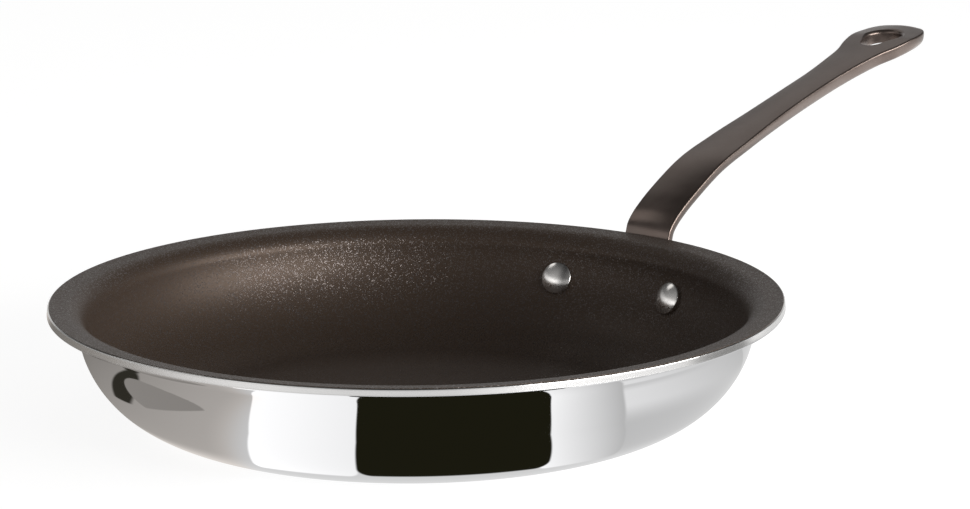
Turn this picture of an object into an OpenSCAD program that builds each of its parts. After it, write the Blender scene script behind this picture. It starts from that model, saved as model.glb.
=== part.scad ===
// Omelette pan, 28 cm, five ply clad body with a nonstick lining and a riveted cast iron handle.
// Millimetres. Origin at the centre of the flat underside, handle along +X, +Z up.
// Show one piece by setting node to its name.

/* [Body] */
// Overall width across the poured rim
rim_diameter = 280; // [240:1:300]
// Height from the underside to the top of the rim
body_height = 47; // [43:0.5:58]
// How far the rim stands out past the wall
lip_overhang = 11.2; // [9:0.1:14]
// Radius under the lip, on the outside of the wall
lip_fillet = 5; // [4:0.1:6]
// Slope of the lip above horizontal, degrees
lip_slope = 7; // [3:0.5:12]
// Slope of the wall just under the lip, degrees above horizontal
wall_slope = 85; // [80:0.5:87]
// Straight part of the wall between the base curve and the lip
wall_straight = 0.6; // [0.3:0.1:2]
// Rounding on both corners of the trimmed rim
edge_round = 0.45; // [0.3:0.05:0.7]

/* [Clad sheet] */
// Magnetic stainless steel outside
outer_ply_t = 0.5; // [0.4:0.05:0.7]
// Aluminium alloy bond layer, above and below the core
bond_ply_t = 0.3; // [0.2:0.05:0.4]
// Pure aluminium core
core_ply_t = 1.4; // [1.0:0.05:1.6]
// Stainless steel inside
inner_ply_t = 0.5; // [0.4:0.05:0.6]
// Nonstick lining
coating_t = 0.2; // [0.15:0.01:0.25]

/* [Handle] */
// Tip of the handle, measured past the rim
handle_reach = 196.5; // [170:1:215]
// Height of the tip above the rim
handle_rise = 66.2; // [52:0.2:75]
// Width where the handle passes the rim
neck_width = 22.8; // [20:0.2:26]
// Width at the narrowest part of the grip
grip_width = 16.3; // [14:0.1:19]
// Width of the head around the hanging eye
head_width = 32; // [28:0.2:34]
// Thickness at the neck
neck_t = 4.4; // [3.8:0.1:5]
// Thickness at the head
head_t = 5.4; // [4.8:0.1:6]
// Height of the crown across the top face, as a share of the half width
crown = 0.07; // [0:0.01:0.12]
// Thickness of the flange that follows the wall
flange_t = 4; // [3.5:0.1:5]

/* [Hanging eye] */
// Radius of the round end of the eye
eye_radius = 7.4; // [6:0.1:8.4]
// Radius of the narrow end
eye_nose_radius = 3.2; // [2.5:0.1:4]
// Distance between the two radii
eye_length = 11.2; // [9:0.1:13]
// Distance from the tip of the handle to the centre of the round end
eye_inset = 19.6; // [18.5:0.1:22]
// Bevel on both edges of the eye
eye_bevel = 1; // [0.5:0.1:1.3]

/* [Rivets] */
// Angle between each rivet and the middle of the handle
rivet_angle = 13.8; // [12.5:0.1:15]
// Depth of the rivet heads below the rim
rivet_depth = 18.6; // [17:0.1:21]
// Shank diameter
rivet_shank = 6; // [5:0.1:6.5]
// Domed head inside the pan
rivet_head = 13.2; // [11:0.1:14]
// Height of the inside dome
rivet_head_h = 3.4; // [2.5:0.1:4]
// Pressed head on the flange
rivet_tail = 11.5; // [10:0.1:12.5]
// Height of the pressed head
rivet_tail_h = 2.2; // [1.6:0.1:2.6]

/* [Show] */
// Piece to build

/* [Hidden] */
$fn = 144;

// Depth of each layer below the outer face of the sheet
d_outer = outer_ply_t;
d_lower = d_outer + bond_ply_t;
d_core = d_lower + core_ply_t;
d_upper = d_core + bond_ply_t;
sheet_t = d_upper + inner_ply_t;
lined_t = sheet_t + coating_t;

// Outer face of the body in the r, z plane: flat base, base curve, wall, lip fillet, lip
rim_r = rim_diameter / 2;
sw = sin(wall_slope);
cw = cos(wall_slope);
sl = sin(lip_slope);
cl = cos(lip_slope);
wall_r = rim_r - lip_overhang;
lip_run = (lip_overhang - lip_fillet * (sw - sl) - edge_round * (1 - sl)) / cl;
base_curve = (body_height - wall_straight * sw - lip_fillet * (cl - cw) - lip_run * sl
              - sheet_t * cl - edge_round * (1 - cl)) / (1 - cw);
base_r = wall_r - wall_straight * cw - base_curve * sw;
curve_centre = [base_r, base_curve];
wall_start = curve_centre + base_curve * [sw, -cw];
wall_end = wall_start + wall_straight * [cw, sw];
fillet_centre = wall_end + lip_fillet * [sw, -cw];
lip_start = fillet_centre + lip_fillet * [-sl, cl];
lip_end = lip_start + lip_run * [cl, sl];

// Rivet axis: where it meets the outer face, and its tilt below horizontal
head_level = body_height - rivet_depth;
rivet_turn = acos((base_curve - head_level) / (base_curve - lined_t - rivet_head_h * 0.5));
rivet_r = base_r + base_curve * sin(rivet_turn);
rivet_z = base_curve * (1 - cos(rivet_turn));

function dir(a) = [cos(a), sin(a)];
// Everything inside the face that lies d below the outer face, open at the top
module inside(d) {
    n_wall = d * [-sw, cw];
    n_lip = d * [-sl, cl];
    top = 2 * base_curve + body_height;
    difference() {
        union() {
            polygon([[0, d], [base_r, d], curve_centre, wall_start + n_wall, wall_end + n_wall,
                     fillet_centre, lip_start + n_lip, lip_end + n_lip + 20 * [cl, sl],
                     [rim_r + 20, top], [0, top]]);
            translate(curve_centre) circle(base_curve - d);
        }
        translate(fillet_centre) circle(lip_fillet + d);
        translate([-2 * base_curve, -1]) square([2 * base_curve, 2 * top]);
    }
}
// One layer of the sheet between two depths, ending square to the lip
module band(d0, d1) {
    difference() {
        inside(d0);
        inside(d1);
        translate(lip_end) rotate(lip_slope) translate([0, -20]) square([200, 400]);
    }
}
// The same layer running on into the trimmed, polished edge of the sheet
module edged_band(d0, d1) {
    more = 0.004;
    difference() {
        inside(d0);
        inside(d1);
        translate(lip_end) rotate(lip_slope) difference() {
            translate([0.03, -20]) square([200, 400]);
            intersection() {
                translate([-1, -1]) square([1 + edge_round + more / 2, sheet_t + 2]);
                union() {
                    for (y = [edge_round, sheet_t - edge_round])
                        translate([0, y]) circle(edge_round + more);
                    translate([0, edge_round]) square([2, sheet_t - 2 * edge_round]);
                }
            }
        }
    }
}
module ply(d0, d1) {
    difference() {
        rotate_extrude() edged_band(d0, d1);
        rivet_bores();
    }
}

// Both rivet axes run square to the wall, z pointing out of the pan
module at_rivet(side) {
    rotate([0, 0, side * rivet_angle]) translate([rivet_r, 0, rivet_z])
        rotate([0, 180 - rivet_turn, 0]) children();
}
module rivet_bores() {
    for (side = [-1, 1])
        at_rivet(side) translate([0, 0, -15]) cylinder(d = rivet_shank, h = 30);
}

// A ring that follows the base curve of the wall, from d0 to d1 below the outer face
module wall_ring(d0, d1, low, high) {
    rotate_extrude() intersection() {
        difference() {
            translate(curve_centre) circle(base_curve - d0);
            translate(curve_centre) circle(base_curve - d1);
        }
        translate([base_r, low]) square([2 * base_curve, high - low]);
    }
}

// Rivet: each head seats on a disc that takes the curve of the wall
module dome(r, h, side_h, from) {
    cap = h - side_h;
    ball = (r * r + cap * cap) / (2 * cap);
    intersection() {
        translate([0, 0, h - ball]) sphere(ball);
        translate([0, 0, from]) cylinder(r = r, h = h);
    }
}
module seat_disc(side, d, d0, d1) {
    intersection() {
        at_rivet(side) translate([0, 0, -12]) cylinder(d = d, h = 24);
        wall_ring(d0, d1, rivet_z - 12, rivet_z + 12);
    }
}
module rivet(side) {
    seat_disc(side, rivet_head, lined_t, lined_t + 1);
    seat_disc(side, rivet_tail, -flange_t - 0.9, -flange_t);
    at_rivet(side) {
        translate([0, 0, -lined_t]) mirror([0, 0, 1]) dome(rivet_head / 2, rivet_head_h, 1.5, 0.9);
        translate([0, 0, flange_t]) dome(rivet_tail / 2, rivet_tail_h, 0.9, 0.5);
        translate([0, 0, -lined_t - 1.5]) cylinder(d = rivet_shank, h = lined_t + flange_t + 2.2);
    }
}

// Handle casting. Each row of the line is x, z of the top face, half width, thickness, end rounding
tip_x = rim_r + handle_reach;
function on_wall(turn, off) = curve_centre + (base_curve + off) * [sin(turn), -cos(turn)];
function past_rim(u, v) = [rim_r + u * handle_reach, body_height + v * handle_rise];
function row(p, w, t, e = 0) = [p[0], p[1], w / 2, t, e];
mid_t = (neck_t + head_t) / 2;
// Where the head is widest, and how fast it falls back from the tip
head_u = 0.879;
head_fall = 0.55;
root_rows = [
    row(on_wall(58, 0.6), 25, 3.6),
    row(on_wall(66, 0.9), 31, 4.2),
    row(on_wall(74, 1.3), 34, 4.6),
    row([wall_r + 2.2, body_height - 12.6], 31, 4.6),
    row([wall_r + 6, body_height - 9.6], 26.5, 4.3),
    row([rim_r - 1.6, body_height - 6.2], 24, 4),
    row([rim_r + 1.6, body_height - 2], 23, neck_t)
];
arm_rows = [
    row(past_rim(0.018, 0.048), neck_width, neck_t),
    row(past_rim(0.036, 0.108), neck_width, neck_t),
    row(past_rim(0.061, 0.166), neck_width, neck_t),
    row(past_rim(0.117, 0.268), neck_width, neck_t),
    row(past_rim(0.193, 0.382), neck_width * 0.957, neck_t),
    row(past_rim(0.305, 0.494), neck_width * 0.44 + grip_width * 0.61, neck_t * 0.85 + head_t * 0.15),
    row(past_rim(0.431, 0.604), grip_width * 1.06, mid_t),
    row(past_rim(0.558, 0.707), grip_width, mid_t),
    row(past_rim(0.66, 0.786), grip_width * 1.03, head_t * 0.94),
    row(past_rim(0.736, 0.843), grip_width * 1.18, head_t),
    row(past_rim(0.797, 0.882), grip_width * 0.57 + head_width * 0.42, head_t),
    row(past_rim(0.848, 0.914), grip_width * 0.14 + head_width * 0.84, head_t)
];
head_rows = [for (a = [0, 16, 30, 43, 55, 66, 75, 82, 87])
    let (q = pow(sin(a), 0.8), u = head_u + (1 - head_u) * q)
    row(past_rim(u, 1 - (1 - u) * head_fall), head_width * pow(cos(a), 0.8), head_t * (1 - 0.22 * q),
        a < 60 ? 0 : (a - 60) / 27)];
line = concat(root_rows, arm_rows, head_rows);

// Smooth curve through the rows
function gap(i) = norm([line[i + 1][0] - line[i][0], line[i + 1][1] - line[i][1]]);
function slope(i) =
    i == 0 ? (line[1] - line[0]) / gap(0) :
    i == len(line) - 1 ? (line[i] - line[i - 1]) / gap(i - 1) :
    ((line[i + 1] - line[i]) / gap(i) * gap(i - 1) + (line[i] - line[i - 1]) / gap(i - 1) * gap(i))
        / (gap(i) + gap(i - 1));
function along(i, t) =
    let (g = gap(i), a = line[i], b = line[i + 1], ma = slope(i) * g, mb = slope(i + 1) * g)
    a * (2 * t * t * t - 3 * t * t + 1) + ma * (t * t * t - 2 * t * t + t)
        + b * (3 * t * t - 2 * t * t * t) + mb * (t * t * t - t * t);
stations = concat(
    [for (i = [0:len(line) - 2]) let (n = gap(i) > 12 ? 4 : gap(i) > 3.5 ? 2 : 1)
        for (k = [0:n - 1]) along(i, k / n)],
    [line[len(line) - 1]]);

// Half section: crowned top, small bevel, rounded side, flat underside
function half_section(w, t, e) =
    let (k = crown * w, b = min(0.8, 0.25 * w), r = min(2, 0.5 * w, 0.48 * t), drop = 0.5 * e, lift = 1.2 * e)
    [[0, k - drop], [0.45 * w, 0.8 * k - drop], [0.8 * w - 0.3 * b, 0.36 * k - drop], [w - b, 0.02 - drop],
     [w - 0.3 * b, -0.25 * b - drop], [w, -b - drop],
     [w, -t + r + lift * 0.5], [w - 0.3 * r, -t + 0.3 * r + lift], [w - r, -t + lift], [0.4 * w, -t + lift], [0, -t + lift]];
function section(w, t, e) =
    let (h = half_section(w, t, e), n = len(h))
    concat(h, [for (i = [n - 2:-1:1]) [-h[i][0], h[i][1]]]);
module arm() {
    n = len(stations);
    rings = [for (i = [0:n - 1])
        let (s = stations[i], a = stations[max(i - 1, 0)], b = stations[min(i + 1, n - 1)],
             d = [b[0] - a[0], b[1] - a[1]], t = d / norm(d))
        [for (q = section(s[2], s[3], s[4])) [s[0] - t[1] * q[1], q[0], s[1] + t[0] * q[1]]]];
    m = len(rings[0]);
    points = [for (r = rings) for (q = r) q];
    sides = [for (i = [0:n - 2]) for (j = [0:m - 1])
        let (a = i * m + j, b = i * m + (j + 1) % m, c = a + m, d = b + m)
        each [[a, b, c], [b, d, c]]];
    ends = [[for (j = [m - 1:-1:0]) j], [for (j = [0:m - 1]) (n - 1) * m + j]];
    polyhedron(points, concat(sides, ends));
}

// Flange outline, seen along the handle: two ears joined by a waisted web
module flange_outline() {
    y_ear = (rivet_r + flange_t / 2) * sin(rivet_angle);
    z_ear = rivet_z - flange_t / 2 * cos(rivet_turn) ;
    ear = rivet_tail / 2 + 4.6;
    difference() {
        union() {
            for (s = [-1, 1]) translate([s * y_ear, z_ear]) circle(ear);
            translate([-y_ear, z_ear - ear * 0.86]) square([2 * y_ear, ear * 1.72]);
        }
        translate([0, z_ear - ear - 52]) circle(54.5);
    }
}
module flange() {
    intersection() {
        wall_ring(-flange_t, 0, rivet_z - 14, wall_start[1] - 0.6);
        translate([base_r, 0, 0]) rotate([90, 0, 90]) linear_extrude(height = 2 * base_curve) flange_outline();
    }
}

// Hanging eye: teardrop with its nose towards the pan, square to the head
module teardrop(grow) {
    r = eye_radius + grow;
    q = eye_nose_radius + grow;
    a = acos((eye_radius - eye_nose_radius) / eye_length);
    flat = 0.02;
    circle(r);
    translate([-eye_length, 0]) circle(q);
    polygon([(r - flat) * dir(180 - a), [-eye_length, 0] + (q - flat) * dir(180 - a),
             [-eye_length, 0] + (q - flat) * dir(180 + a), (r - flat) * dir(180 + a)]);
}
eye_centre = past_rim(1 - eye_inset / handle_reach, 1 - eye_inset / handle_reach * head_fall);
head_slope = atan(head_fall * handle_rise / handle_reach);
module at_eye() {
    translate([eye_centre[0], 0, eye_centre[1]]) rotate([0, -head_slope, 0]) children();
}
// A cut that opens 1 mm for each mm it rises, to break the edge of the eye at level z
module eye_edge(z, up) {
    at_eye() translate([0, 0, z]) mirror([0, 0, up ? 0 : 1]) hull() {
        translate([0, 0, -eye_bevel - 0.4]) linear_extrude(height = 0.01) teardrop(-0.4, $fn = 48);
        translate([0, 0, 1]) linear_extrude(height = 0.01) teardrop(eye_bevel + 1, $fn = 48);
    }
}
module eye() {
    at_eye() translate([0, 0, -15]) linear_extrude(height = 30) teardrop(0);
    eye_edge(crown * head_width * 0.42, true);
    eye_edge(-head_t, false);
}

module handle() {
    color("#4a433f") difference() {
        union() {
            arm();
            flange();
        }
        rivet_bores();
        eye();
    }
}
module outer_ply() { color("#c9ccd0") ply(0, d_outer); }
module lower_bond_ply() { color("#b9bcbf") ply(d_outer, d_lower); }
module core_ply() { color("#d7d9da") ply(d_lower, d_core); }
module upper_bond_ply() { color("#b9bcbf") ply(d_core, d_upper); }
module inner_ply() { color("#c4c7ca") ply(d_upper, sheet_t); }
module nonstick_coating() {
    color("#2f2926") difference() {
        rotate_extrude() band(sheet_t, lined_t);
        rivet_bores();
    }
}
module rivet_left() { color("#b5b7b9") rivet(1); }
module rivet_right() { color("#b5b7b9") rivet(-1); }

outer_ply();
lower_bond_ply();
core_ply();
upper_bond_ply();
inner_ply();
nonstick_coating();
handle();
rivet_left();
rivet_right();
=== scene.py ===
"""Omelette pan: the looks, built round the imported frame. Metres, row frame: +X along the handle, +Z up.

The six layers of the body, the handle casting and the two rivets are made again here as smooth surfaces
of the same sizes, because a mirror and a satin casting show every facet. Only the handle's line, head and
eye are refined, by about 2 mm at most. Lengths below are millimetres until a mesh is made.
"""
import math

import bpy
import numpy as np
from mathutils import Matrix, Vector


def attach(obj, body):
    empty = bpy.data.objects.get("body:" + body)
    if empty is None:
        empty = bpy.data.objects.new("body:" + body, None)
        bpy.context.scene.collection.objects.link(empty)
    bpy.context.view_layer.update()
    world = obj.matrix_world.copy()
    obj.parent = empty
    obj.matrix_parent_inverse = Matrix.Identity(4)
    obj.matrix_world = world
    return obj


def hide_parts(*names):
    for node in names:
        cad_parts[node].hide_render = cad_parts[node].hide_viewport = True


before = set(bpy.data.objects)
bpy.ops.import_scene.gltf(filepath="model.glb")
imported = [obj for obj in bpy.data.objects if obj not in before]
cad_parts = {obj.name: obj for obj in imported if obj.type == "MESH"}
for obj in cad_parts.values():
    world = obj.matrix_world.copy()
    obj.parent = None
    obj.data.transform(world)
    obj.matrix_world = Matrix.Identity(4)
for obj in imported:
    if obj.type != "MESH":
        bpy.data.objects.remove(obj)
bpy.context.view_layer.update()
MM = 0.001

# Body: rim, height, flared lip and wall
RIM_R = 140.0
BODY_H = 47.0
LIP_OVERHANG = 11.2
LIP_FILLET = 5.0
LIP_SLOPE = math.radians(7)
WALL_SLOPE = math.radians(85)
WALL_STRAIGHT = 0.6
EDGE_ROUND = 0.45

# Layers of the clad sheet from the outside in, and how deep the inner face of each one lies
OUTER_T = 0.5
BOND_T = 0.3
CORE_T = 1.4
INNER_T = 0.5
COATING_T = 0.2
D_OUTER = OUTER_T
D_LOWER = D_OUTER + BOND_T
D_CORE = D_LOWER + CORE_T
D_UPPER = D_CORE + BOND_T
SHEET_T = D_UPPER + INNER_T
LINED_T = SHEET_T + COATING_T

# Outer face of the body in the r, z plane: flat base, base curve, wall, lip fillet, lip
WALL_SIN = math.sin(WALL_SLOPE)
WALL_COS = math.cos(WALL_SLOPE)
LIP_SIN = math.sin(LIP_SLOPE)
LIP_COS = math.cos(LIP_SLOPE)
ALONG_LIP = np.array([LIP_COS, LIP_SIN])
ACROSS_LIP = np.array([-LIP_SIN, LIP_COS])
LIP_RUN = (LIP_OVERHANG - LIP_FILLET * (WALL_SIN - LIP_SIN) - EDGE_ROUND * (1 - LIP_SIN)) / LIP_COS
BASE_CURVE = (BODY_H - WALL_STRAIGHT * WALL_SIN - LIP_FILLET * (LIP_COS - WALL_COS) - LIP_RUN * LIP_SIN
              - SHEET_T * LIP_COS - EDGE_ROUND * (1 - LIP_COS)) / (1 - WALL_COS)
WALL_R = RIM_R - LIP_OVERHANG
BASE_R = WALL_R - WALL_STRAIGHT * WALL_COS - BASE_CURVE * WALL_SIN
CURVE_CENTRE = np.array([BASE_R, BASE_CURVE])
WALL_START = CURVE_CENTRE + BASE_CURVE * np.array([WALL_SIN, -WALL_COS])
WALL_END = WALL_START + WALL_STRAIGHT * np.array([WALL_COS, WALL_SIN])
FILLET_CENTRE = WALL_END + LIP_FILLET * np.array([WALL_SIN, -WALL_COS])
LIP_END = FILLET_CENTRE + LIP_FILLET * ACROSS_LIP + LIP_RUN * ALONG_LIP

# Points along each stretch of the sheet's face and round its trimmed edge
BASE_POINTS = 12
CURVE_POINTS = 56
FILLET_POINTS = 26
LIP_POINTS = 8
EDGE_POINTS = 14

# Handle: tip past the rim and above it, widths and thicknesses, crown of the top face as a share of the
# half width, the small round along its top and the wider one along its underside
HANDLE_REACH = 195.0
HANDLE_RISE = 65.4
NECK_W = 23.0
GRIP_W = 16.7
HEAD_W = 31.6
NECK_T = 4.6
HEAD_T = 6.0
CROWN = 0.07
TOP_ROUND = 0.8
SIDE_ROUND = 1.9
# Length of each step along the handle
LINE_STEP = 0.8

# Head: where it starts as a share of the reach, how fast it falls back from the tip, how far it is lifted,
# the powers that shape its outline, and the share of its thickness that is lost at the tip
HEAD_START = 0.893
HEAD_FALL = 0.39
HEAD_LIFT = 0.45
HEAD_LENGTH_POWER = 0.715
HEAD_WIDTH_POWER = 0.64
HEAD_THINNING = 0.22

# Hanging eye: round end, narrow end, distance between the two, inset from the tip, rounding of both edges
EYE_R = 8.2
EYE_NOSE_R = 5.4
EYE_LENGTH = 9.0
EYE_INSET = 18.5
EYE_ROUND = 1.6
EYE_POINTS = 64
NOSE_POINTS = 28

# Flange: thickness, margin of its ears round the rivets' tails, height of the web between the ears as a
# share of theirs, the circle that cuts into its lower edge, and the rounding of its own edge
FLANGE_T = 4.0
EAR_MARGIN = 4.6
WEB_SHARE = 0.86
BITE_R = 54.5
BITE_DROP = 52.0
FLANGE_ROUND = 1.6
FLANGE_COLUMNS = 161
FLANGE_ROWS = 41

# Rivets: angle from the middle of the handle, depth below the rim, shank, domed head inside the pan and
# pressed tail outside with their heights and straight sides, and how far the tail's foot is let in
RIVET_ANGLE = math.radians(13.8)
RIVET_DEPTH = 18.6
RIVET_SHANK = 6.0
RIVET_HEAD = 13.2
RIVET_HEAD_H = 3.4
RIVET_HEAD_SIDE = 1.5
RIVET_TAIL = 11.5
RIVET_TAIL_H = 2.2
RIVET_TAIL_SIDE = 0.9
RIVET_SEAT = 0.5
DOME_EDGE = 0.35
# Where a rivet's axis meets the outer face, and its tilt
RIVET_TURN = math.acos((BASE_CURVE - (BODY_H - RIVET_DEPTH)) / (BASE_CURVE - LINED_T - RIVET_HEAD_H * 0.5))
RIVET_R = BASE_R + BASE_CURVE * math.sin(RIVET_TURN)
RIVET_Z = BASE_CURVE * (1 - math.cos(RIVET_TURN))

# Camera at the photograph's angle: how far round from the handle's line, down and leaning, the point it
# looks at and its distance in metres, and the focal length and the photograph's width in pixels
VIEW_TURN = math.radians(49)
VIEW_TILT = math.radians(12.459)
VIEW_ROLL = math.radians(-0.325)
VIEW_POINT = Vector((0.01706, -0.01962, 0.06237))
VIEW_DISTANCE = 1.1409
FOCAL_PIXELS = 3000
PHOTO_PIXELS = 970
SENSOR_MM = 36.0


# Camera
def aim_camera():
    """A lens of 111 mm, with the camera's own axes worked out from its turn, tilt and roll."""
    forward = Vector((math.sin(VIEW_TURN) * math.cos(VIEW_TILT),
                      math.cos(VIEW_TURN) * math.cos(VIEW_TILT), -math.sin(VIEW_TILT)))
    level = Vector((math.cos(VIEW_TURN), -math.sin(VIEW_TURN), 0))
    square = level.cross(forward)
    right = math.cos(VIEW_ROLL) * level + math.sin(VIEW_ROLL) * square
    up = math.cos(VIEW_ROLL) * square - math.sin(VIEW_ROLL) * level
    place = VIEW_POINT - forward * VIEW_DISTANCE
    data = bpy.data.cameras.new("camera")
    data.sensor_width = SENSOR_MM
    data.lens = FOCAL_PIXELS / PHOTO_PIXELS * SENSOR_MM
    data.clip_start = 0.05
    data.clip_end = 50
    camera = bpy.data.objects.new("camera", data)
    camera.matrix_world = Matrix.Translation(place) @ Matrix((right, up, -forward)).transposed().to_4x4()
    bpy.context.scene.collection.objects.link(camera)
    bpy.context.scene.camera = camera
    return camera


camera = aim_camera()
CAMERA_TURN = math.atan2(camera.location.y, camera.location.x)


# Meshes
def linear(code):
    """sRGB hex code to a linear colour with alpha 1."""
    parts = [int(code[i:i + 2], 16) / 255 for i in (1, 3, 5)]
    return tuple(v / 12.92 if v <= 0.04045 else ((v + 0.055) / 1.055) ** 2.4 for v in parts) + (1.0,)


def solid(name, points, faces, sharp=32):
    """A closed mesh from points in mm and faces; turned inside out if its signed volume is negative.
    Faces that meet at more than sharp degrees keep a crisp edge."""
    points = np.asarray(points, float) * MM
    triangles = np.array([(f[0], f[i], f[i + 1]) for f in faces for i in range(1, len(f) - 1)])
    a, b, c = points[triangles[:, 0]], points[triangles[:, 1]], points[triangles[:, 2]]
    if np.einsum("ij,ij->i", a, np.cross(b, c)).sum() < 0:
        faces = [tuple(reversed(f)) for f in faces]
    mesh = bpy.data.meshes.new(name)
    mesh.from_pydata(points.tolist(), [], faces)
    mesh.update()
    mesh.shade_smooth()
    mesh.set_sharp_from_angle(angle=math.radians(sharp))
    piece = bpy.data.objects.new(name, mesh)
    bpy.context.scene.collection.objects.link(piece)
    return piece


def ring_faces(rows, count):
    """Quads between rows of count points each, every row closed on itself."""
    i, j = np.meshgrid(np.arange(rows - 1), np.arange(count), indexing="ij")
    a, b = i * count + j, i * count + (j + 1) % count
    return np.stack([a, b, b + count, a + count], axis=-1).reshape(-1, 4)


def loft_faces(rows, count):
    """The same quads, with one flat face over the first row and one over the last."""
    last = (rows - 1) * count
    sides = [tuple(f) for f in ring_faces(rows, count).tolist()]
    return sides + [tuple(range(count)), tuple(range(last + count - 1, last - 1, -1))]


def carried(points, place):
    """Points moved and turned by a 4 by 4 matrix."""
    return points @ np.array(place.to_3x3()).T + np.array(place.translation)


def turned(name, profile, count=480, place=None):
    """A turned solid: each profile point (r, z) is carried round the axis, x = r cos t, y = r sin t.
    The profile's two ends lie on the axis and become single points."""
    profile = np.asarray(profile, float)
    body = profile[1:-1]
    t = np.arange(count) * 2 * math.pi / count
    rings = np.stack([body[:, :1] * np.cos(t), body[:, :1] * np.sin(t),
                      np.repeat(body[:, 1:], count, axis=1)], axis=-1).reshape(-1, 3)
    points = np.vstack([rings, [[0, 0, profile[0, 1]], [0, 0, profile[-1, 1]]]])
    if place is not None:
        points = carried(points, place)
    n, j = len(rings), np.arange(count)
    k = (j + 1) % count
    caps = np.concatenate([np.stack([k, j, np.full(count, n)], 1),
                           np.stack([n - count + j, n - count + k, np.full(count, n + 1)], 1)])
    faces = [tuple(f) for f in ring_faces(len(body), count).tolist()] + [tuple(f) for f in caps.tolist()]
    return solid(name, points, faces)


def finish_piece(piece, nodes, material):
    """The piece stands for its CAD nodes, rides on the pan and takes its finish."""
    piece.data.materials.clear()
    piece.data.materials.append(material)
    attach(piece, "root")
    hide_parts(*nodes)


# The clad body
def sheet_face(d, end):
    """Profile of the face that lies d below the outer face, from the axis to end mm past the lip's last
    point: flat base, base curve, wall, lip fillet (an arc about a centre outside the wall), lip."""
    a = np.linspace(0, WALL_SLOPE, CURVE_POINTS)
    b = np.linspace(WALL_SLOPE, LIP_SLOPE, FILLET_POINTS)
    base = np.stack([np.linspace(0.0, BASE_R, BASE_POINTS), np.full(BASE_POINTS, d)], 1)
    curve = CURVE_CENTRE + (BASE_CURVE - d) * np.stack([np.sin(a), -np.cos(a)], 1)
    fillet = FILLET_CENTRE + (LIP_FILLET + d) * np.stack([-np.sin(b), np.cos(b)], 1)
    last = LIP_END + end * ALONG_LIP + d * ACROSS_LIP
    s = np.linspace(0, 1, LIP_POINTS)[1:, None]
    return np.vstack([base, curve[1:], fillet, fillet[-1] + s * (last - fillet[-1])])


def trimmed_edge(d):
    """How far the sheet's end stands past the lip's last point at depth d: flat, with a quarter round
    of EDGE_ROUND at both corners."""
    near = np.minimum(d, SHEET_T - d)
    rounded = np.sqrt(np.maximum(EDGE_ROUND ** 2 - (EDGE_ROUND - near) ** 2, 0))
    return np.where(near < EDGE_ROUND, rounded, EDGE_ROUND)


def layer(name, d0, d1, material, square_end=False):
    """One layer of the sheet between depths d0 and d1, its end following the trimmed edge."""
    d = np.linspace(d0, d1, EDGE_POINTS)
    end = np.zeros(EDGE_POINTS) if square_end else trimmed_edge(d)
    rim = LIP_END + end[:, None] * ALONG_LIP + d[:, None] * ACROSS_LIP
    profile = np.vstack([sheet_face(d0, end[0]), rim[1:-1], sheet_face(d1, end[-1])[::-1]])
    finish_piece(turned(name + "_smooth", profile), [name], material)


# The handle casting
def past_rim(u, v):
    """Point at the share u of the handle's reach past the rim and v of its rise above the rim."""
    return RIM_R + u * HANDLE_REACH, BODY_H + v * HANDLE_RISE


def on_head(u):
    """Point of the head's straight top at the share u of the reach."""
    return past_rim(u, 1 + HEAD_LIFT / HANDLE_RISE - (1 - u) * HEAD_FALL)


def on_wall(degrees, off):
    """Point of the wall's curve at an angle up from the base, off mm outside the wall."""
    turn = math.radians(degrees)
    return (BASE_R + (BASE_CURVE + off) * math.sin(turn), BASE_CURVE - (BASE_CURVE + off) * math.cos(turn))


def between(first, second, share):
    """A size between two others: share of the way from the first to the second."""
    return first * (1 - share) + second * share


def handle_rows():
    """Rows of the line that the handle follows: x, z of the top face, half width, thickness, end rounding.
    Round the head the length goes as the sine of an angle and the width as its cosine, each to a power."""
    root = [
        (*on_wall(58, 0.6), 25, 3.6),
        (*on_wall(66, 0.9), 31, 4.2),
        (*on_wall(74, 1.3), 34, 4.6),
        (WALL_R + 2.2, BODY_H - 12.6, 31, 4.6),
        (WALL_R + 6, BODY_H - 9.6, 26.5, 4.3),
        (RIM_R - 1.6, BODY_H - 6.2, 24, 4),
        (RIM_R + 1.6, BODY_H - 2, 23, NECK_T),
    ]
    arm = [
        (*past_rim(0.018, 0.0486), NECK_W, NECK_T),
        (*past_rim(0.036, 0.1093), NECK_W, NECK_T),
        (*past_rim(0.0615, 0.168), NECK_W, NECK_T),
        (*past_rim(0.118, 0.2713), NECK_W, NECK_T),
        (*past_rim(0.1945, 0.3898), NECK_W * 0.976, between(NECK_T, HEAD_T, 0.13)),
        (*past_rim(0.307, 0.5009), between(NECK_W, GRIP_W, 0.355), between(NECK_T, HEAD_T, 0.23)),
        (*past_rim(0.434, 0.6109), GRIP_W * 1.067, between(NECK_T, HEAD_T, 0.63)),
        (*past_rim(0.562, 0.7156), GRIP_W, HEAD_T * 0.98),
        (*past_rim(0.665, 0.7945), GRIP_W * 1.03, HEAD_T),
        (*past_rim(0.742, 0.8534), between(GRIP_W, HEAD_W, 0.21), HEAD_T),
        (*past_rim(0.803, 0.898), between(GRIP_W, HEAD_W, 0.44), HEAD_T),
        (*past_rim(0.8545, 0.937), between(GRIP_W, HEAD_W, 0.85), HEAD_T),
    ]
    rows = [(*row, 0) for row in root + arm]
    # The last three rows of the head are also rounded over, by a growing amount
    for degrees in (0, 16, 30, 43, 55, 66, 75, 82, 87):
        a = math.radians(degrees)
        q = math.sin(a) ** HEAD_LENGTH_POWER
        width = HEAD_W * math.cos(a) ** HEAD_WIDTH_POWER
        thick = HEAD_T * (1 - HEAD_THINNING * q)
        rows.append((*on_head(HEAD_START + (1 - HEAD_START) * q), width, thick, max(degrees - 60, 0) / 27))
    rows = np.array(rows, float)
    rows[:, 2] /= 2
    return rows


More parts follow.
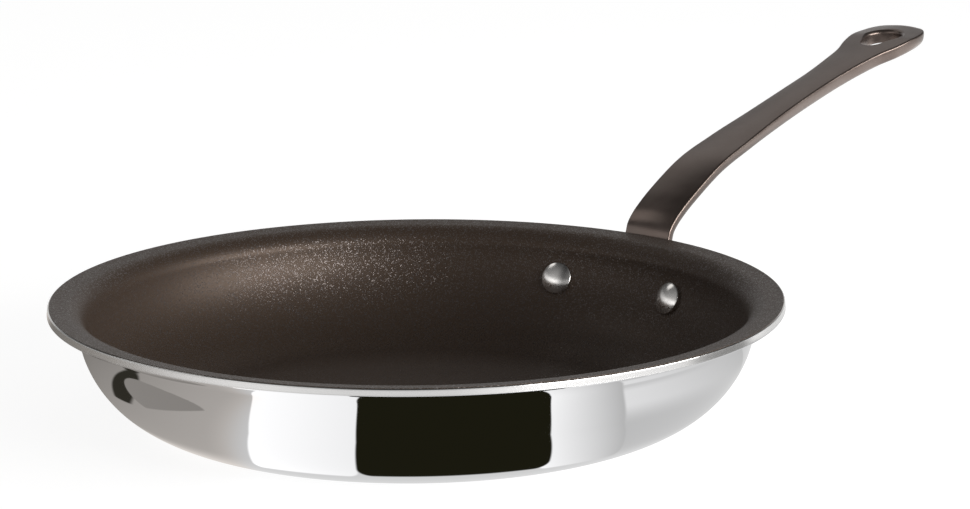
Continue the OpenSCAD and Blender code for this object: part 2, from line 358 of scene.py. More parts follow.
def smooth_line(rows):
    """Cubic through the rows: at each row the slope is the mean of its two chords, each weighted with
    the other's length, and each span is a Hermite cubic cut about every LINE_STEP mm."""
    gap = np.hypot(*np.diff(rows[:, :2], axis=0).T)
    chord = np.diff(rows, axis=0) / gap[:, None]
    slope = np.vstack([chord[:1], (chord[1:] * gap[:-1, None] + chord[:-1] * gap[1:, None])
                       / (gap[1:] + gap[:-1])[:, None], chord[-1:]])
    n = np.maximum(np.ceil(gap / LINE_STEP).astype(int), 1)
    i = np.repeat(np.arange(len(gap)), n)
    t = ((np.arange(n.sum()) - np.repeat(np.cumsum(n) - n, n)) / n[i])[:, None]
    g = gap[i][:, None]
    line = (rows[i] * (2 * t ** 3 - 3 * t ** 2 + 1) + slope[i] * g * (t ** 3 - 2 * t ** 2 + t)
            + rows[i + 1] * (3 * t ** 2 - 2 * t ** 3) + slope[i + 1] * g * (t ** 3 - t ** 2))
    return np.vstack([line, rows[-1:]])


def sections(line):
    """Closed section of each station, as (sideways, up) pairs: a crown that falls as the square of the
    distance from the middle, a small quarter round, a side that is a quarter ellipse, a flat underside.
    At the tip the top drops and the underside lifts."""
    half, thick, ending = line[:, 2:3], line[:, 3:4], line[:, 4:5]
    crown = CROWN * np.minimum(half, GRIP_W / 2)
    corner = np.minimum(TOP_ROUND, half / 4)
    side = np.minimum(np.minimum(SIDE_ROUND, half / 2), 0.48 * thick)
    drop, lift = 0.5 * ending, 1.2 * ending
    s = np.linspace(0, 1, 14)
    q = np.radians(np.linspace(0, 90, 7))
    f = np.radians(np.linspace(0, 90, 13))
    h = np.linspace(1, 0, 8)[1:]
    top_y, top_z = s * (half - corner), crown * (1 - s ** 2) - drop
    corner_y, corner_z = half - corner + corner * np.sin(q), -corner + corner * np.cos(q) - drop
    deep = thick - corner - lift - drop
    side_y, side_z = half - side + side * np.cos(f), -corner - drop - deep * np.sin(f)
    under_y, under_z = h * (half - side), -thick + lift + 0 * h
    y = np.hstack([top_y, corner_y[:, 1:], side_y[:, 1:], under_y])
    z = np.hstack([top_z, corner_z[:, 1:], side_z[:, 1:], under_z])
    return np.hstack([y, -y[:, -2:0:-1]]), np.hstack([z, z[:, -2:0:-1]])


def arm_piece():
    """Sections carried along the line, each square to the line: the loft of the handle's arm."""
    line = smooth_line(handle_rows())
    y, up = sections(line)
    run = np.gradient(line[:, :2], axis=0)
    run /= np.linalg.norm(run, axis=1)[:, None]
    x = line[:, :1] - run[:, 1:] * up
    z = line[:, 1:2] + run[:, :1] * up
    points = np.stack([x, y, z], axis=-1)
    return solid("handle_arm", points.reshape(-1, 3), loft_faces(*points.shape[:2]), sharp=40)


def eye_cutter():
    """The teardrop of the hanging eye, two arcs joined by their tangents, carried up a straight wall
    that turns outwards at both faces: by 1 - cos p and up by sin p, to 75 degrees, then straight on."""
    lean = math.acos((EYE_R - EYE_NOSE_R) / EYE_LENGTH)
    turn = np.concatenate([np.linspace(-(math.pi - lean), math.pi - lean, EYE_POINTS),
                           np.linspace(math.pi - lean, math.pi + lean, NOSE_POINTS)])
    centre = np.concatenate([np.zeros(EYE_POINTS), np.full(NOSE_POINTS, -EYE_LENGTH)])
    radius = np.concatenate([np.full(EYE_POINTS, EYE_R), np.full(NOSE_POINTS, EYE_NOSE_R)])
    top, low = CROWN * GRIP_W * 0.36, -HEAD_T
    p = np.radians(np.linspace(0, 75, 8))
    grow, inward = EYE_ROUND * (1 - np.cos(p)), EYE_ROUND * (1 - np.sin(p))
    # Past each face the cutter runs on 1 mm outwards and 4 mm sideways
    widest = grow[-1] + 4.0
    levels = [(low - 1.0, widest), *zip((low + inward)[::-1], grow[::-1]),
              *zip(top - inward, grow), (top + 1.0, widest)]
    count = len(turn)
    rings = np.array([np.stack([centre + (radius + g) * np.cos(turn), (radius + g) * np.sin(turn),
                                np.full(count, z)], 1) for z, g in levels])
    slope = math.atan(HEAD_FALL * HANDLE_RISE / HANDLE_REACH)
    x, z = on_head(1 - EYE_INSET / HANDLE_REACH)
    place = Matrix.Translation((x, 0, z)) @ Matrix.Rotation(-slope, 4, "Y")
    return solid("eye_cutter", carried(rings.reshape(-1, 3), place), loft_faces(len(levels), count))


def flange_edges(y, y_ear, z_ear, ear):
    """Upper and lower edge of the flange at each y: two round ears joined by a web, cut off under the
    end of the wall's curve and bitten into from below by a wide circle."""
    ears = np.sqrt(np.maximum(ear ** 2 - (np.abs(y) - y_ear) ** 2, 0))
    reach = np.where(np.abs(y) > y_ear, ears, np.maximum(ears, ear * WEB_SHARE))
    bite = z_ear - ear - BITE_DROP + np.sqrt(BITE_R ** 2 - y ** 2)
    high = np.minimum(z_ear + reach, WALL_START[1] - 0.6)
    low = np.minimum(np.maximum(z_ear - reach, bite), high - 0.02)
    return high, low


def flange_piece():
    """The flange: a patch of the wall's own curve FLANGE_T thick. For each y across it runs between
    the two edges of its outline, and its thickness falls to the wall as a quarter round near the edge."""
    y_ear = (RIVET_R + FLANGE_T / 2) * math.sin(RIVET_ANGLE)
    z_ear = RIVET_Z - FLANGE_T / 2 * math.cos(RIVET_TURN)
    ear = RIVET_TAIL / 2 + EAR_MARGIN
    half = y_ear + ear
    y = half * np.sin(np.linspace(-math.pi / 2, math.pi / 2, FLANGE_COLUMNS))
    high, low = flange_edges(y, y_ear, z_ear, ear)
    s = (1 - np.cos(np.linspace(0, math.pi, FLANGE_ROWS))) / 2
    z = low[:, None] + s * (high - low)[:, None]
    across = np.repeat(y[:, None], FLANGE_ROWS, axis=1)
    edge = np.minimum(np.minimum(z - low[:, None], high[:, None] - z), half - np.abs(across))
    foot = FLANGE_T - FLANGE_ROUND
    thick = foot + FLANGE_ROUND * np.sqrt(1 - (1 - np.clip(edge / FLANGE_ROUND, 0, 1)) ** 2)
    # Both ends of the flange, where its two edges meet, stay at the foot of the round
    thick = np.where(edge <= 0.011, foot, thick)

    def off_wall(off):
        rho = BASE_R + np.sqrt((BASE_CURVE + off) ** 2 - (BASE_CURVE - z) ** 2)
        return np.stack([np.sqrt(rho ** 2 - across ** 2), across, z], -1).reshape(-1, 3)

    points = np.concatenate([off_wall(thick), off_wall(0.02)])
    n, m = z.shape
    i, j = np.meshgrid(np.arange(n - 1), np.arange(m - 1), indexing="ij")
    a = (i * m + j).reshape(-1)
    outside = np.stack([a, a + 1, a + m + 1, a + m], 1)
    inside = outside[:, ::-1] + n * m
    loop = np.concatenate([np.arange(m), np.arange(2 * m - 1, n * m, m)[:n - 1],
                           np.arange(n * m - 2, (n - 1) * m - 1, -1), np.arange((n - 2) * m, 0, -m)])
    ahead = np.roll(loop, -1)
    rim = np.stack([ahead, loop, loop + n * m, ahead + n * m], 1)
    faces = [tuple(f) for f in np.concatenate([outside, inside, rim]).tolist()]
    return solid("handle_flange", points, faces, sharp=50)


def bake_modifiers(piece):
    """The piece's mesh with its modifiers applied."""
    graph = bpy.context.evaluated_depsgraph_get()
    mesh = bpy.data.meshes.new_from_object(piece.evaluated_get(graph), depsgraph=graph)
    piece.modifiers.clear()
    old, piece.data = piece.data, mesh
    bpy.data.meshes.remove(old)


def handle_piece(material):
    """Arm with its eye cut through, joined with the flange in one object, as the casting is one piece."""
    arm = arm_piece()
    for operation, other in (("DIFFERENCE", eye_cutter()), ("UNION", flange_piece())):
        step = arm.modifiers.new(other.name, "BOOLEAN")
        step.operation = operation
        step.solver = "EXACT"
        step.object = other
        bake_modifiers(arm)
        bpy.data.objects.remove(other)
    arm.name = "handle_smooth"
    arm.data.shade_smooth()
    arm.data.set_sharp_from_angle(angle=math.radians(38))
    finish_piece(arm, ["handle"], material)


# Rivets
def dome(radius, height, side):
    """Profile of a low domed head, from its foot on the outside to its pole: a plain side, a small
    rounded edge and a spherical cap."""
    cap = height - side
    ball = (radius ** 2 + cap ** 2) / (2 * cap)
    a = np.linspace(math.asin((radius - DOME_EDGE) / ball), 0, 18)
    arc = np.stack([ball * np.sin(a), height - ball + ball * np.cos(a)], 1)
    q = np.linspace(0, 1, 6)[:, None]
    foot = np.array([[radius, side - DOME_EDGE * 0.6]])
    knee = np.array([[radius, side]])
    bend = (1 - q) ** 2 * foot + 2 * q * (1 - q) * knee + q ** 2 * arc[:1]
    return np.vstack([bend[:-1], arc])


def rivet_piece(name, side, material):
    """Inner dome, shank and pressed tail, turned about an axis square to the wall."""
    head = dome(RIVET_HEAD / 2, RIVET_HEAD_H, RIVET_HEAD_SIDE)
    tail = dome(RIVET_TAIL / 2, RIVET_TAIL_H, RIVET_TAIL_SIDE)
    head[:, 1] = -LINED_T - head[:, 1]
    tail[:, 1] += FLANGE_T
    seat = FLANGE_T - RIVET_SEAT
    shank = [[RIVET_TAIL / 2, seat], [RIVET_SHANK / 2, seat],
             [RIVET_SHANK / 2, -LINED_T], [RIVET_HEAD / 2, -LINED_T]]
    place = (Matrix.Rotation(side * RIVET_ANGLE, 4, "Z") @ Matrix.Translation((RIVET_R, 0, RIVET_Z))
             @ Matrix.Rotation(math.pi - RIVET_TURN, 4, "Y"))
    piece = turned(name + "_smooth", np.vstack([tail[::-1], shank, head]), 96, place)
    finish_piece(piece, [name], material)


# Materials
def add(tree, kind, inputs=None, stops=(), **settings):
    """Adds one node: settings are its own properties, inputs its sockets, as values or as links, and
    stops the (place, colour) pairs of a colour ramp."""
    node = tree.nodes.new(kind)
    for key, value in settings.items():
        setattr(node, key, value)
    for key, value in (inputs or {}).items():
        if isinstance(value, bpy.types.NodeSocket):
            tree.links.new(value, node.inputs[key])
        else:
            node.inputs[key].default_value = value
    for _ in stops[2:]:
        node.color_ramp.elements.new(0.5)
    for i, (place, colour) in enumerate(stops):
        node.color_ramp.elements[i].position = place
        node.color_ramp.elements[i].color = colour
    return node


def new_material(name):
    """An empty node material and its tree."""
    material = bpy.data.materials.new(name)
    material.use_nodes = True
    material.node_tree.nodes.clear()
    return material, material.node_tree


def surface(tree, shader):
    """The shader becomes the material's surface."""
    add(tree, "ShaderNodeOutputMaterial", {"Surface": shader.outputs[0]})


def grey(v):
    return (v, v, v, 1.0)


def mirror_steel():
    """Magnetic stainless steel, buffed to a mirror on the outside of the pan. The eye sees clean, slightly
    warm reflections with a faint haze of the buffing wheel's lines, which run round the pan."""
    material, tree = new_material("stainless_steel_mirror_buffed")
    place = add(tree, "ShaderNodeTexCoord").outputs["Object"]
    xyz = add(tree, "ShaderNodeSeparateXYZ", {"Vector": place})
    flat = add(tree, "ShaderNodeCombineXYZ", {"X": xyz.outputs["X"], "Y": xyz.outputs["Y"]})
    radius = add(tree, "ShaderNodeVectorMath", {0: flat.outputs[0]}, operation="LENGTH")
    rings = add(tree, "ShaderNodeCombineXYZ", {"X": radius.outputs["Value"], "Z": xyz.outputs["Z"]})
    # Buffing lines about 0.4 mm apart, coarser than real ones so that they show
    lines = add(tree, "ShaderNodeTexNoise", {"Vector": rings.outputs[0], "Scale": 2500.0, "Detail": 3.0})
    cloud = add(tree, "ShaderNodeTexNoise", {"Vector": place, "Scale": 60.0, "Detail": 2.0})
    haze = add(tree, "ShaderNodeMapRange", {"Value": cloud.outputs["Fac"], "From Min": 0.3, "From Max": 0.7,
                                            "To Min": 0.018, "To Max": 0.045})
    bump = add(tree, "ShaderNodeBump", {
        "Height": lines.outputs["Fac"], "Strength": 0.02, "Distance": 0.0001})
    shader = add(tree, "ShaderNodeBsdfPrincipled", {
        "Base Color": linear("#dfdfe0"), "Metallic": 1.0, "Roughness": haze.outputs[0],
        "Normal": bump.outputs[0]})
    surface(tree, shader)
    return material


def trimmed_metal(name, code, rough):
    """A layer of the clad sheet where the rim was trimmed and polished: fine lines run round the edge."""
    material, tree = new_material(name)
    place = add(tree, "ShaderNodeTexCoord").outputs["Object"]
    xyz = add(tree, "ShaderNodeSeparateXYZ", {"Vector": place})
    level = add(tree, "ShaderNodeCombineXYZ", {"Z": xyz.outputs["Z"]})
    # Polishing lines 0.15 mm apart
    lines = add(tree, "ShaderNodeTexNoise", {"Vector": level.outputs[0], "Scale": 6500.0, "Detail": 2.0})
    bump = add(tree, "ShaderNodeBump", {
        "Height": lines.outputs["Fac"], "Strength": 0.03, "Distance": 0.00003})
    metal = linear(code)
    dull = tuple(c * 0.96 for c in metal[:3]) + (1.0,)
    tone = add(tree, "ShaderNodeValToRGB", {"Fac": lines.outputs["Fac"]}, stops=[(0.3, dull), (0.7, metal)])
    shader = add(tree, "ShaderNodeBsdfPrincipled", {
        "Base Color": tone.outputs["Color"], "Metallic": 1.0, "Roughness": rough,
        "Normal": bump.outputs[0]})
    surface(tree, shader)
    return material


def sprayed_nonstick():
    """Three coats of sprayed fluoropolymer, warm black, the top one with mica flakes. The eye sees a soft
    sheen, a slight orange peel and fine glints where flakes lie turned to the light."""
    material, tree = new_material("nonstick_sprayed_warm_black")
    place = add(tree, "ShaderNodeTexCoord").outputs["Object"]
    # Flakes of 0.3 mm, larger than real ones of 0.05 mm so that they show
    flakes = add(tree, "ShaderNodeTexVoronoi", {"Vector": place, "Scale": 3200.0}, feature="F1")
    random = add(tree, "ShaderNodeSeparateColor", {"Color": flakes.outputs["Color"]})
    is_flake = add(tree, "ShaderNodeMapRange", {
        "Value": random.outputs["Red"], "From Min": 0.80, "From Max": 0.84}).outputs[0]
    tilt = add(tree, "ShaderNodeVectorMath", {0: flakes.outputs["Color"], 1: (0.5, 0.5, 0.5)},
               operation="SUBTRACT")
    amount = add(tree, "ShaderNodeMath", {0: is_flake, 1: 0.42}, operation="MULTIPLY")
    lean = add(tree, "ShaderNodeVectorMath", {0: tilt.outputs[0], "Scale": amount.outputs[0]},
               operation="SCALE")
    peel = add(tree, "ShaderNodeTexNoise", {"Vector": place, "Scale": 900.0, "Detail": 2.0})
    bump = add(tree, "ShaderNodeBump", {
        "Height": peel.outputs["Fac"], "Strength": 0.12, "Distance": 0.0002})
    leaning = add(tree, "ShaderNodeVectorMath", {0: bump.outputs[0], 1: lean.outputs[0]}, operation="ADD")
    normal = add(tree, "ShaderNodeVectorMath", {0: leaning.outputs[0]}, operation="NORMALIZE")
    base = add(tree, "ShaderNodeMix", {
        "Factor": is_flake, "A": linear("#463a31"), "B": linear("#5e5856")}, data_type="RGBA")
    shiny = add(tree, "ShaderNodeMapRange", {"Value": is_flake, "To Min": 0.38, "To Max": 0.64})
    rough = add(tree, "ShaderNodeMapRange", {"Value": is_flake, "To Min": 0.46, "To Max": 0.36})
    shader = add(tree, "ShaderNodeBsdfPrincipled", {
        "Base Color": base.outputs["Result"], "Metallic": shiny.outputs[0], "Roughness": rough.outputs[0],
        "Specular IOR Level": 0.2, "Normal": normal.outputs[0]})
    surface(tree, shader)
    return material


def cast_iron():
    """Cast iron, shot blasted and finished with a thin bronze brown coat. The eye sees a satin metal with
    a fine grain and slow patches of lighter and darker brown."""
    material, tree = new_material("cast_iron_bronze_brown_satin")
    place = add(tree, "ShaderNodeTexCoord").outputs["Object"]
    # Grain of 0.6 mm and patches of 14 mm
    grain = add(tree, "ShaderNodeTexNoise", {
        "Vector": place, "Scale": 1600.0, "Detail": 4.0, "Roughness": 0.6})
    patches = add(tree, "ShaderNodeTexNoise", {"Vector": place, "Scale": 70.0, "Detail": 3.0}).outputs["Fac"]
    tone = add(tree, "ShaderNodeValToRGB", {"Fac": patches}, stops=[
        (0.3, linear("#685c56")), (0.7, linear("#736862"))])
    rough = add(tree, "ShaderNodeMapRange", {
        "Value": patches, "From Min": 0.3, "From Max": 0.7, "To Min": 0.28, "To Max": 0.33})
    bump = add(tree, "ShaderNodeBump", {
        "Height": grain.outputs["Fac"], "Strength": 0.10, "Distance": 0.0002})
    shader = add(tree, "ShaderNodeBsdfPrincipled", {
        "Base Color": tone.outputs["Color"], "Metallic": 0.9, "Roughness": rough.outputs[0],
        "Normal": bump.outputs[0]})
    surface(tree, shader)
    return material


def rivet_steel():
    """Stainless steel wire, headed cold and tumbled bright: a soft shine with fine random scratches."""
    material, tree = new_material("stainless_steel_tumbled")
    place = add(tree, "ShaderNodeTexCoord").outputs["Object"]
    # Dents of 0.9 mm, about as large as the tumbling stones leave
    dents = add(tree, "ShaderNodeTexNoise", {"Vector": place, "Scale": 1100.0, "Detail": 3.0}).outputs["Fac"]
    bump = add(tree, "ShaderNodeBump", {"Height": dents, "Strength": 0.12, "Distance": 0.00012})
    rough = add(tree, "ShaderNodeMapRange", {
        "Value": dents, "From Min": 0.3, "From Max": 0.7, "To Min": 0.18, "To Max": 0.28})
    shader = add(tree, "ShaderNodeBsdfPrincipled", {
        "Base Color": linear("#e8e5e2"), "Metallic": 1.0, "Roughness": rough.outputs[0],
        "Normal": bump.outputs[0]})
    surface(tree, shader)
    return material


# The pan
core_metal = trimmed_metal("aluminium_trimmed_edge", "#e9e8e7", 0.14)
bond_metal = trimmed_metal("aluminium_alloy_trimmed_edge", "#e0dfde", 0.18)
inner_metal = trimmed_metal("stainless_steel_trimmed_edge", "#d8d7d5", 0.12)
layer("outer_ply", 0.0, D_OUTER, mirror_steel())
layer("lower_bond_ply", D_OUTER, D_LOWER, bond_metal)
layer("core_ply", D_LOWER, D_CORE, core_metal)
layer("upper_bond_ply", D_CORE, D_UPPER, bond_metal)
layer("inner_ply", D_UPPER, SHEET_T, inner_metal)
layer("nonstick_coating", SHEET_T, LINED_T, sprayed_nonstick(), square_end=True)
handle_piece(cast_iron())
bright_rivet = rivet_steel()
rivet_piece("rivet_left", 1, bright_rivet)
rivet_piece("rivet_right", -1, bright_rivet)


# Floor and cards
def plate(name, radii, sides, z, material):
    """A flat ring in plan, from the first of radii to the last, with so many sides, at level z mm:
    x = r cos t, y = r sin t."""
    r, t = np.meshgrid(radii, np.linspace(0, 2 * math.pi, sides + 1), indexing="ij")
    points = np.stack([r * np.cos(t), r * np.sin(t), np.full_like(r, z)], -1).reshape(-1, 3) * MM
    n, m = r.shape
    i, j = np.meshgrid(np.arange(n - 1), np.arange(m - 1), indexing="ij")
    a = (i * m + j).reshape(-1)
    mesh = bpy.data.meshes.new(name)
    mesh.from_pydata(points.tolist(), [], np.stack([a, a + m, a + m + 1, a + 1], 1).tolist())
    mesh.materials.append(material)
    piece = bpy.data.objects.new(name, mesh)
    bpy.context.scene.collection.objects.link(piece)
    return piece


def floor_material():
    """Matt white sweep. To the camera it is white and keeps the pan's shadow; to shiny metal it is pale."""
    material, tree = new_material("white_sweep")
    path = add(tree, "ShaderNodeLightPath")
    paint = add(tree, "ShaderNodeBsdfDiffuse", {"Color": grey(0.8)})
    thin = add(tree, "ShaderNodeBsdfDiffuse", {"Color": grey(0.3)})
    glow = add(tree, "ShaderNodeEmission", {"Color": grey(1.0), "Strength": 0.85})
    seen = add(tree, "ShaderNodeAddShader", {0: thin.outputs[0], 1: glow.outputs[0]})
    shine = add(tree, "ShaderNodeEmission", {"Color": grey(1.0), "Strength": 0.9})
    first = add(tree, "ShaderNodeMixShader", {
        "Fac": path.outputs["Is Camera Ray"], 1: paint.outputs[0], 2: seen.outputs[0]})
    both = add(tree, "ShaderNodeMixShader", {
        "Fac": path.outputs["Is Glossy Ray"], 1: first.outputs[0], 2: shine.outputs[0]})
    surface(tree, both)
    return material


# The bench round the pan, seen only in shiny metal: its own brightness, and the level in mm it is drawn at
BENCH_TONE = 0.78
BENCH_LEVEL = 0.3
# Radius beyond which the side edges of a card may lean
LEAN_START = 135.0

# Cards laid round the pan, each over the ones before it. Each row is: first and last bearing in degrees
# from the camera's side (right positive), how soft both edges are, lean of the two edges in degrees per mm
# beyond LEAN_START, nearest and farthest radius in mm, how soft those are, corner radius in mm, brightness
# at the first and at the last bearing.
SECTOR_CARDS = [
    (-130, -38, 16, 0, 0, 107, 880, 12, 0, 0.16, 0.53),
    (40, 130, 3, 0.085, 0, 107, 420, 12, 0, 0.66, 0.76),
    (44, 104, 1, 0.085, 0, 145, 200, 28, 0, 0.98, 0.60),
    (-34.4, -11.9, 0.5, -0.060, -0.022, 105.5, 420, 1.5, 4, 1.38, 1.16),
    (24, 43.6, 0.5, 0.085, 0.085, 105.5, 420, 1.5, 4, 1.26, 0.60),
    (-12.0, 26.1, 0.3, -0.022, 0.062, 106.5, 420, 1.2, 6, 0.0, 0.0),
    (80, 106, 6, 0, 0, 300, 900, 40, 0, 0.25, 0.25),
    (104, 150, 6, 0, 0, 410, 880, 100, 0, 1.7, 1.7),
]

# Cards with a round outline. Each row is: centre in mm along and across the camera's side, half length,
# half width, turn in degrees, how soft the edge is, brightness.
ROUND_CARDS = [
    (34, -163, 42, 18, -84, 0.28, 0.02),
    (69.4, -141.4, 47, 20, 45.6, 0.06, 0.30),
]
# The round cards are cut off straight, this far in mm along this direction
CUT_WAY = (-0.236, 0.972, 0)
CUT_REACH = -135.0


def rising(tree, value, edge, soft):
    """0 below the edge and 1 above it, with a smooth step soft wide between them."""
    return add(tree, "ShaderNodeMapRange", {
        "Value": value, "From Min": edge - soft / 2, "From Max": edge + soft / 2},
        interpolation_type="SMOOTHSTEP").outputs[0]


def bench_place(tree):
    """Where a point of the bench lies in mm, turned so that x points to the camera's side, with its
    bearing in degrees and its radius in mm."""
    place = add(tree, "ShaderNodeTexCoord").outputs["Object"]
    flat = add(tree, "ShaderNodeVectorMath", {0: place, 1: (1 / MM, 1 / MM, 0)}, operation="MULTIPLY")
    facing = add(tree, "ShaderNodeVectorRotate", {"Vector": flat.outputs[0], "Angle": -CAMERA_TURN},
                 rotation_type="Z_AXIS").outputs[0]
    at = add(tree, "ShaderNodeSeparateXYZ", {"Vector": facing})
    turn = add(tree, "ShaderNodeMath", {0: at.outputs["Y"], 1: at.outputs["X"]}, operation="ARCTAN2")
    bearing = add(tree, "ShaderNodeMath", {0: turn.outputs[0]}, operation="DEGREES").outputs[0]
    radius = add(tree, "ShaderNodeVectorMath", {0: facing}, operation="LENGTH").outputs["Value"]
    return facing, bearing, radius


def corner_cover(tree, radius, aside, inward, corner, blur):
    """Cover of a card with round corners, from how many degrees a point lies inside its side edges and
    how many mm inside its near and far edges."""
    arc = add(tree, "ShaderNodeMath", {0: aside}, operation="RADIANS")
    across = add(tree, "ShaderNodeMath", {0: arc.outputs[0], 1: radius}, operation="MULTIPLY")
    inside = add(tree, "ShaderNodeCombineXYZ", {"X": across.outputs[0], "Y": inward})
    short = add(tree, "ShaderNodeVectorMath", {0: (corner, corner, 0), 1: inside.outputs[0]},
                operation="SUBTRACT")
    outside = add(tree, "ShaderNodeVectorMath", {0: short.outputs[0], 1: (0, 0, 0)}, operation="MAXIMUM")
    reach = add(tree, "ShaderNodeVectorMath", {0: outside.outputs[0]}, operation="LENGTH")
    spare = add(tree, "ShaderNodeMath", {0: corner, 1: reach.outputs["Value"]}, operation="SUBTRACT")
    return rising(tree, spare.outputs[0], 0.0, blur)


def sector_card(tree, bearing, radius, card):
    """Cover and brightness of one sector card."""
    first, last, soft, lean_first, lean_last, near, far, blur, corner, tone_first, tone_last = card
    beyond = add(tree, "ShaderNodeMath", {0: radius, 1: LEAN_START}, operation="SUBTRACT")
    beyond = add(tree, "ShaderNodeMath", {0: beyond.outputs[0], 1: 0.0}, operation="MAXIMUM").outputs[0]
    # Degrees inside the first and the last edge
    start = add(tree, "ShaderNodeMath", {0: beyond, 1: -lean_first, 2: bearing}, operation="MULTIPLY_ADD")
    start = add(tree, "ShaderNodeMath", {0: start.outputs[0], 1: first}, operation="SUBTRACT").outputs[0]
    rest = add(tree, "ShaderNodeMath", {0: beyond, 1: -lean_last, 2: bearing}, operation="MULTIPLY_ADD")
    rest = add(tree, "ShaderNodeMath", {0: last, 1: rest.outputs[0]}, operation="SUBTRACT").outputs[0]
    width = add(tree, "ShaderNodeMath", {0: start, 1: rest}, operation="ADD")
    share = add(tree, "ShaderNodeMath", {0: start, 1: width.outputs[0]}, operation="DIVIDE")
    tone = add(tree, "ShaderNodeMapRange", {
        "Value": share.outputs[0], "To Min": tone_first, "To Max": tone_last}).outputs[0]
    # Millimetres inside the near and the far edge, whichever is less
    from_near = add(tree, "ShaderNodeMath", {0: radius, 1: near}, operation="SUBTRACT")
    to_far = add(tree, "ShaderNodeMath", {0: far, 1: radius}, operation="SUBTRACT")
    inward = add(tree, "ShaderNodeMath", {0: from_near.outputs[0], 1: to_far.outputs[0]},
                 operation="MINIMUM").outputs[0]
    if corner:
        aside = add(tree, "ShaderNodeMath", {0: start, 1: rest}, operation="MINIMUM").outputs[0]
        return corner_cover(tree, radius, aside, inward, corner, blur), tone
    cover = rising(tree, inward, 0.0, blur)
    for edge in (start, rest):
        cover = add(tree, "ShaderNodeMath", {0: cover, 1: rising(tree, edge, 0.0, soft)},
                    operation="MULTIPLY").outputs[0]
    return cover, tone


def round_card(tree, facing, kept, card):
    """Cover and brightness of one round card: an ellipse, kept on one side of the straight cut."""
    x, y, half_length, half_width, lean, soft, tone = card
    moved = add(tree, "ShaderNodeVectorMath", {0: facing, 1: (x, y, 0)}, operation="SUBTRACT")
    laid = add(tree, "ShaderNodeVectorRotate", {"Vector": moved.outputs[0], "Angle": -math.radians(lean)},
               rotation_type="Z_AXIS")
    unit = add(tree, "ShaderNodeVectorMath", {0: laid.outputs[0], 1: (half_length, half_width, 1)},
               operation="DIVIDE")
    away = add(tree, "ShaderNodeVectorMath", {0: unit.outputs[0]}, operation="LENGTH")
    inside = add(tree, "ShaderNodeMath", {0: 1.0, 1: away.outputs["Value"]}, operation="SUBTRACT")
    cover = add(tree, "ShaderNodeMath", {0: rising(tree, inside.outputs[0], 0.0, soft), 1: kept},
                operation="MULTIPLY")
    return cover.outputs[0], tone


def card_material():
    """One emission pattern over bearing, radius and place, made of the two tables above. Dark cards are
    warm, and all that lies left of bearing -38 degrees is cream."""
    material, tree = new_material("cards_on_the_bench")
    facing, bearing, radius = bench_place(tree)
    along_cut = add(tree, "ShaderNodeVectorMath", {0: facing, 1: CUT_WAY}, operation="DOT_PRODUCT")
    past_cut = rising(tree, along_cut.outputs["Value"], CUT_REACH, 2.0)
    kept = add(tree, "ShaderNodeMath", {0: 1.0, 1: past_cut}, operation="SUBTRACT").outputs[0]
    covers = [sector_card(tree, bearing, radius, card) for card in SECTOR_CARDS]
    covers += [round_card(tree, facing, kept, card) for card in ROUND_CARDS]
    light = BENCH_TONE
    for cover, tone in covers:
        light = add(tree, "ShaderNodeMix", {"Factor": cover, "A": light, "B": tone}).outputs["Result"]
    warm = add(tree, "ShaderNodeMix", {"Factor": light, "A": linear("#1f1e13"), "B": grey(1.0)},
               data_type="RGBA")
    right = rising(tree, bearing, -38.0, 8.0)
    cream = add(tree, "ShaderNodeMix", {"Factor": right, "A": linear("#fff8f2"), "B": grey(1.0)},
                data_type="RGBA")
    toned = add(tree, "ShaderNodeMix", {
        "Factor": 1.0, "A": warm.outputs["Result"], "B": cream.outputs["Result"]},
        data_type="RGBA", blend_type="MULTIPLY")
    strength = add(tree, "ShaderNodeMath", {0: light, 1: 1.0}, operation="MAXIMUM")
    shader = add(tree, "ShaderNodeEmission", {
        "Color": toned.outputs["Result"], "Strength": strength.outputs[0]})
    surface(tree, shader)
    return material


# The studio round the pan as shiny metal sees it, in stops of place and brightness. Place 0 is behind the
# pan, 0.25 on its left, 0.5 the camera's side, 0.75 on its right and 1 behind again; the brightness is
# doubled when it is used. First near the horizon, then above it.
HORIZON = [
    (0.0, 0.14), (0.08, 0.36), (0.16, 0.16), (0.25, 0.10), (0.30, 0.28), (0.35, 0.60), (0.40, 0.30),
    (0.53, 0.29), (0.60, 0.90), (0.72, 0.90), (0.76, 0.06), (0.87, 0.13), (1.0, 0.10),
]
ABOVE = [
    (0.0, 0.43), (0.06, 0.35), (0.11, 0.08), (0.20, 0.35), (0.31, 0.70), (0.37, 0.75), (0.44, 0.20),
    (0.52, 0.20), (0.60, 0.60), (0.75, 0.60), (0.81, 0.10), (0.91, 0.10), (0.95, 0.40), (1.0, 0.43),
]
# Share of that brightness by height, where 0 is the horizon and 1 straight up
BY_HEIGHT = [(0.26, 1.0), (0.38, 0.30), (0.8, 0.15), (0.95, 0.05)]


def greys(stops):
    return [(place, grey(v)) for place, v in stops]


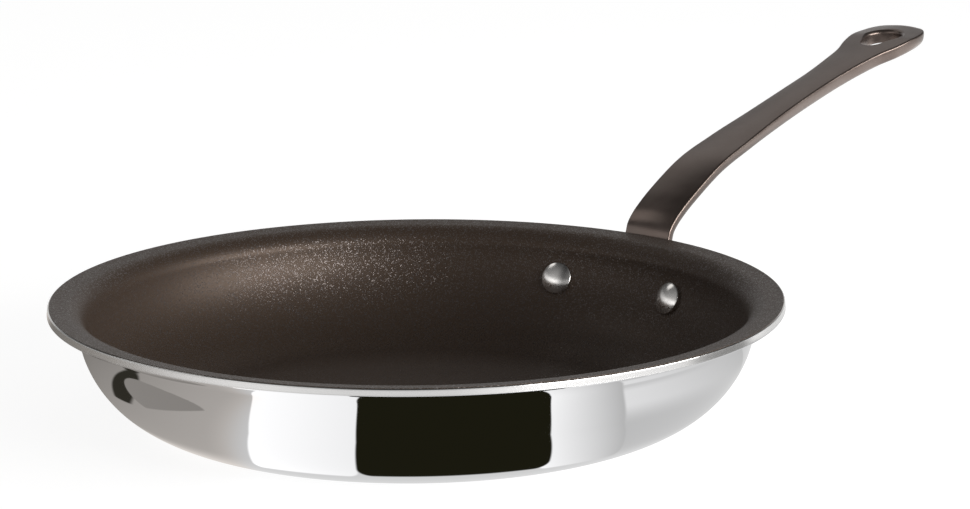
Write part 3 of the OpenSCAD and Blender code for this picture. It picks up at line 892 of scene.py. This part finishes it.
def sky():
    """The studio round the pan. The camera sees white and matt surfaces get an even fill. Shiny ones see
    a bright band at the horizon on the camera's side that darkens to the left, behind and overhead."""
    world = bpy.data.worlds.new("studio")
    bpy.context.scene.world = world
    world.use_nodes = True
    tree = world.node_tree
    tree.nodes.clear()
    path = add(tree, "ShaderNodeLightPath")
    way = add(tree, "ShaderNodeTexCoord").outputs["Generated"]
    facing = add(tree, "ShaderNodeVectorRotate", {"Vector": way, "Angle": -CAMERA_TURN},
                 rotation_type="Z_AXIS")
    at = add(tree, "ShaderNodeSeparateXYZ", {"Vector": facing.outputs[0]})
    turn = add(tree, "ShaderNodeMath", {0: at.outputs["Y"], 1: at.outputs["X"]}, operation="ARCTAN2")
    around = add(tree, "ShaderNodeMath", {0: turn.outputs[0], 1: 1 / (2 * math.pi), 2: 0.5},
                 operation="MULTIPLY_ADD").outputs[0]
    horizon = add(tree, "ShaderNodeValToRGB", {"Fac": around}, stops=greys(HORIZON))
    above = add(tree, "ShaderNodeValToRGB", {"Fac": around}, stops=greys(ABOVE))
    lift = add(tree, "ShaderNodeMapRange", {"Value": at.outputs["Z"], "From Min": 0.05, "From Max": 0.12})
    level = add(tree, "ShaderNodeMix", {
        "Factor": lift.outputs[0], "A": horizon.outputs["Color"], "B": above.outputs["Color"]},
        data_type="RGBA")
    height = add(tree, "ShaderNodeValToRGB", {"Fac": at.outputs["Z"]}, stops=greys(BY_HEIGHT))
    shine = add(tree, "ShaderNodeMix", {
        "Factor": 1.0, "A": level.outputs["Result"], "B": height.outputs["Color"]},
        data_type="RGBA", blend_type="MULTIPLY")
    glossy = add(tree, "ShaderNodeBackground", {"Color": shine.outputs["Result"], "Strength": 2.0})
    fill = add(tree, "ShaderNodeBackground", {"Color": grey(1.0), "Strength": 0.32})
    white = add(tree, "ShaderNodeBackground", {"Color": grey(1.0), "Strength": 1.0})
    first = add(tree, "ShaderNodeMixShader", {
        "Fac": path.outputs["Is Glossy Ray"], 1: fill.outputs[0], 2: glossy.outputs[0]})
    both = add(tree, "ShaderNodeMixShader", {
        "Fac": path.outputs["Is Camera Ray"], 1: first.outputs[0], 2: white.outputs[0]})
    add(tree, "ShaderNodeOutputWorld", {"Surface": both.outputs[0]})


def softbox(name, bearing, height, distance, size, power):
    """A soft box that faces the pan, at a bearing from the camera's side (right positive) and a height,
    both in degrees, with its distance and size in metres and its power in watts."""
    turn, rise = CAMERA_TURN + math.radians(bearing), math.radians(height)
    data = bpy.data.lights.new(name, "AREA")
    data.shape = "RECTANGLE"
    data.size, data.size_y = size
    data.energy = power
    data.color = (1.0, 0.99, 0.975)
    lamp = bpy.data.objects.new(name, data)
    way = Vector((math.cos(turn) * math.cos(rise), math.sin(turn) * math.cos(rise), math.sin(rise)))
    lamp.location = way * distance + Vector((0.02, 0, 0.04))
    lamp.rotation_euler = (-way).to_track_quat("-Z", "Y").to_euler()
    bpy.context.scene.collection.objects.link(lamp)


plate("floor", [0.0, 3000.0, 6000.0], 96, 0.0, floor_material())
cards = plate("cards", [95.0, 150.0, 300.0, 700.0], 180, BENCH_LEVEL, card_material())
for ray in ("camera", "diffuse", "transmission", "volume_scatter", "shadow"):
    setattr(cards, "visible_" + ray, False)
sky()
softbox("key", 60, 14, 1.5, (1.65, 0.53), 29.0)
softbox("back", 180, 40, 1.6, (0.9, 0.6), 0.9)
softbox("side", -126, 46, 1.6, (0.5, 0.5), 0.9)
bpy.context.scene.view_settings.view_transform = "Standard"
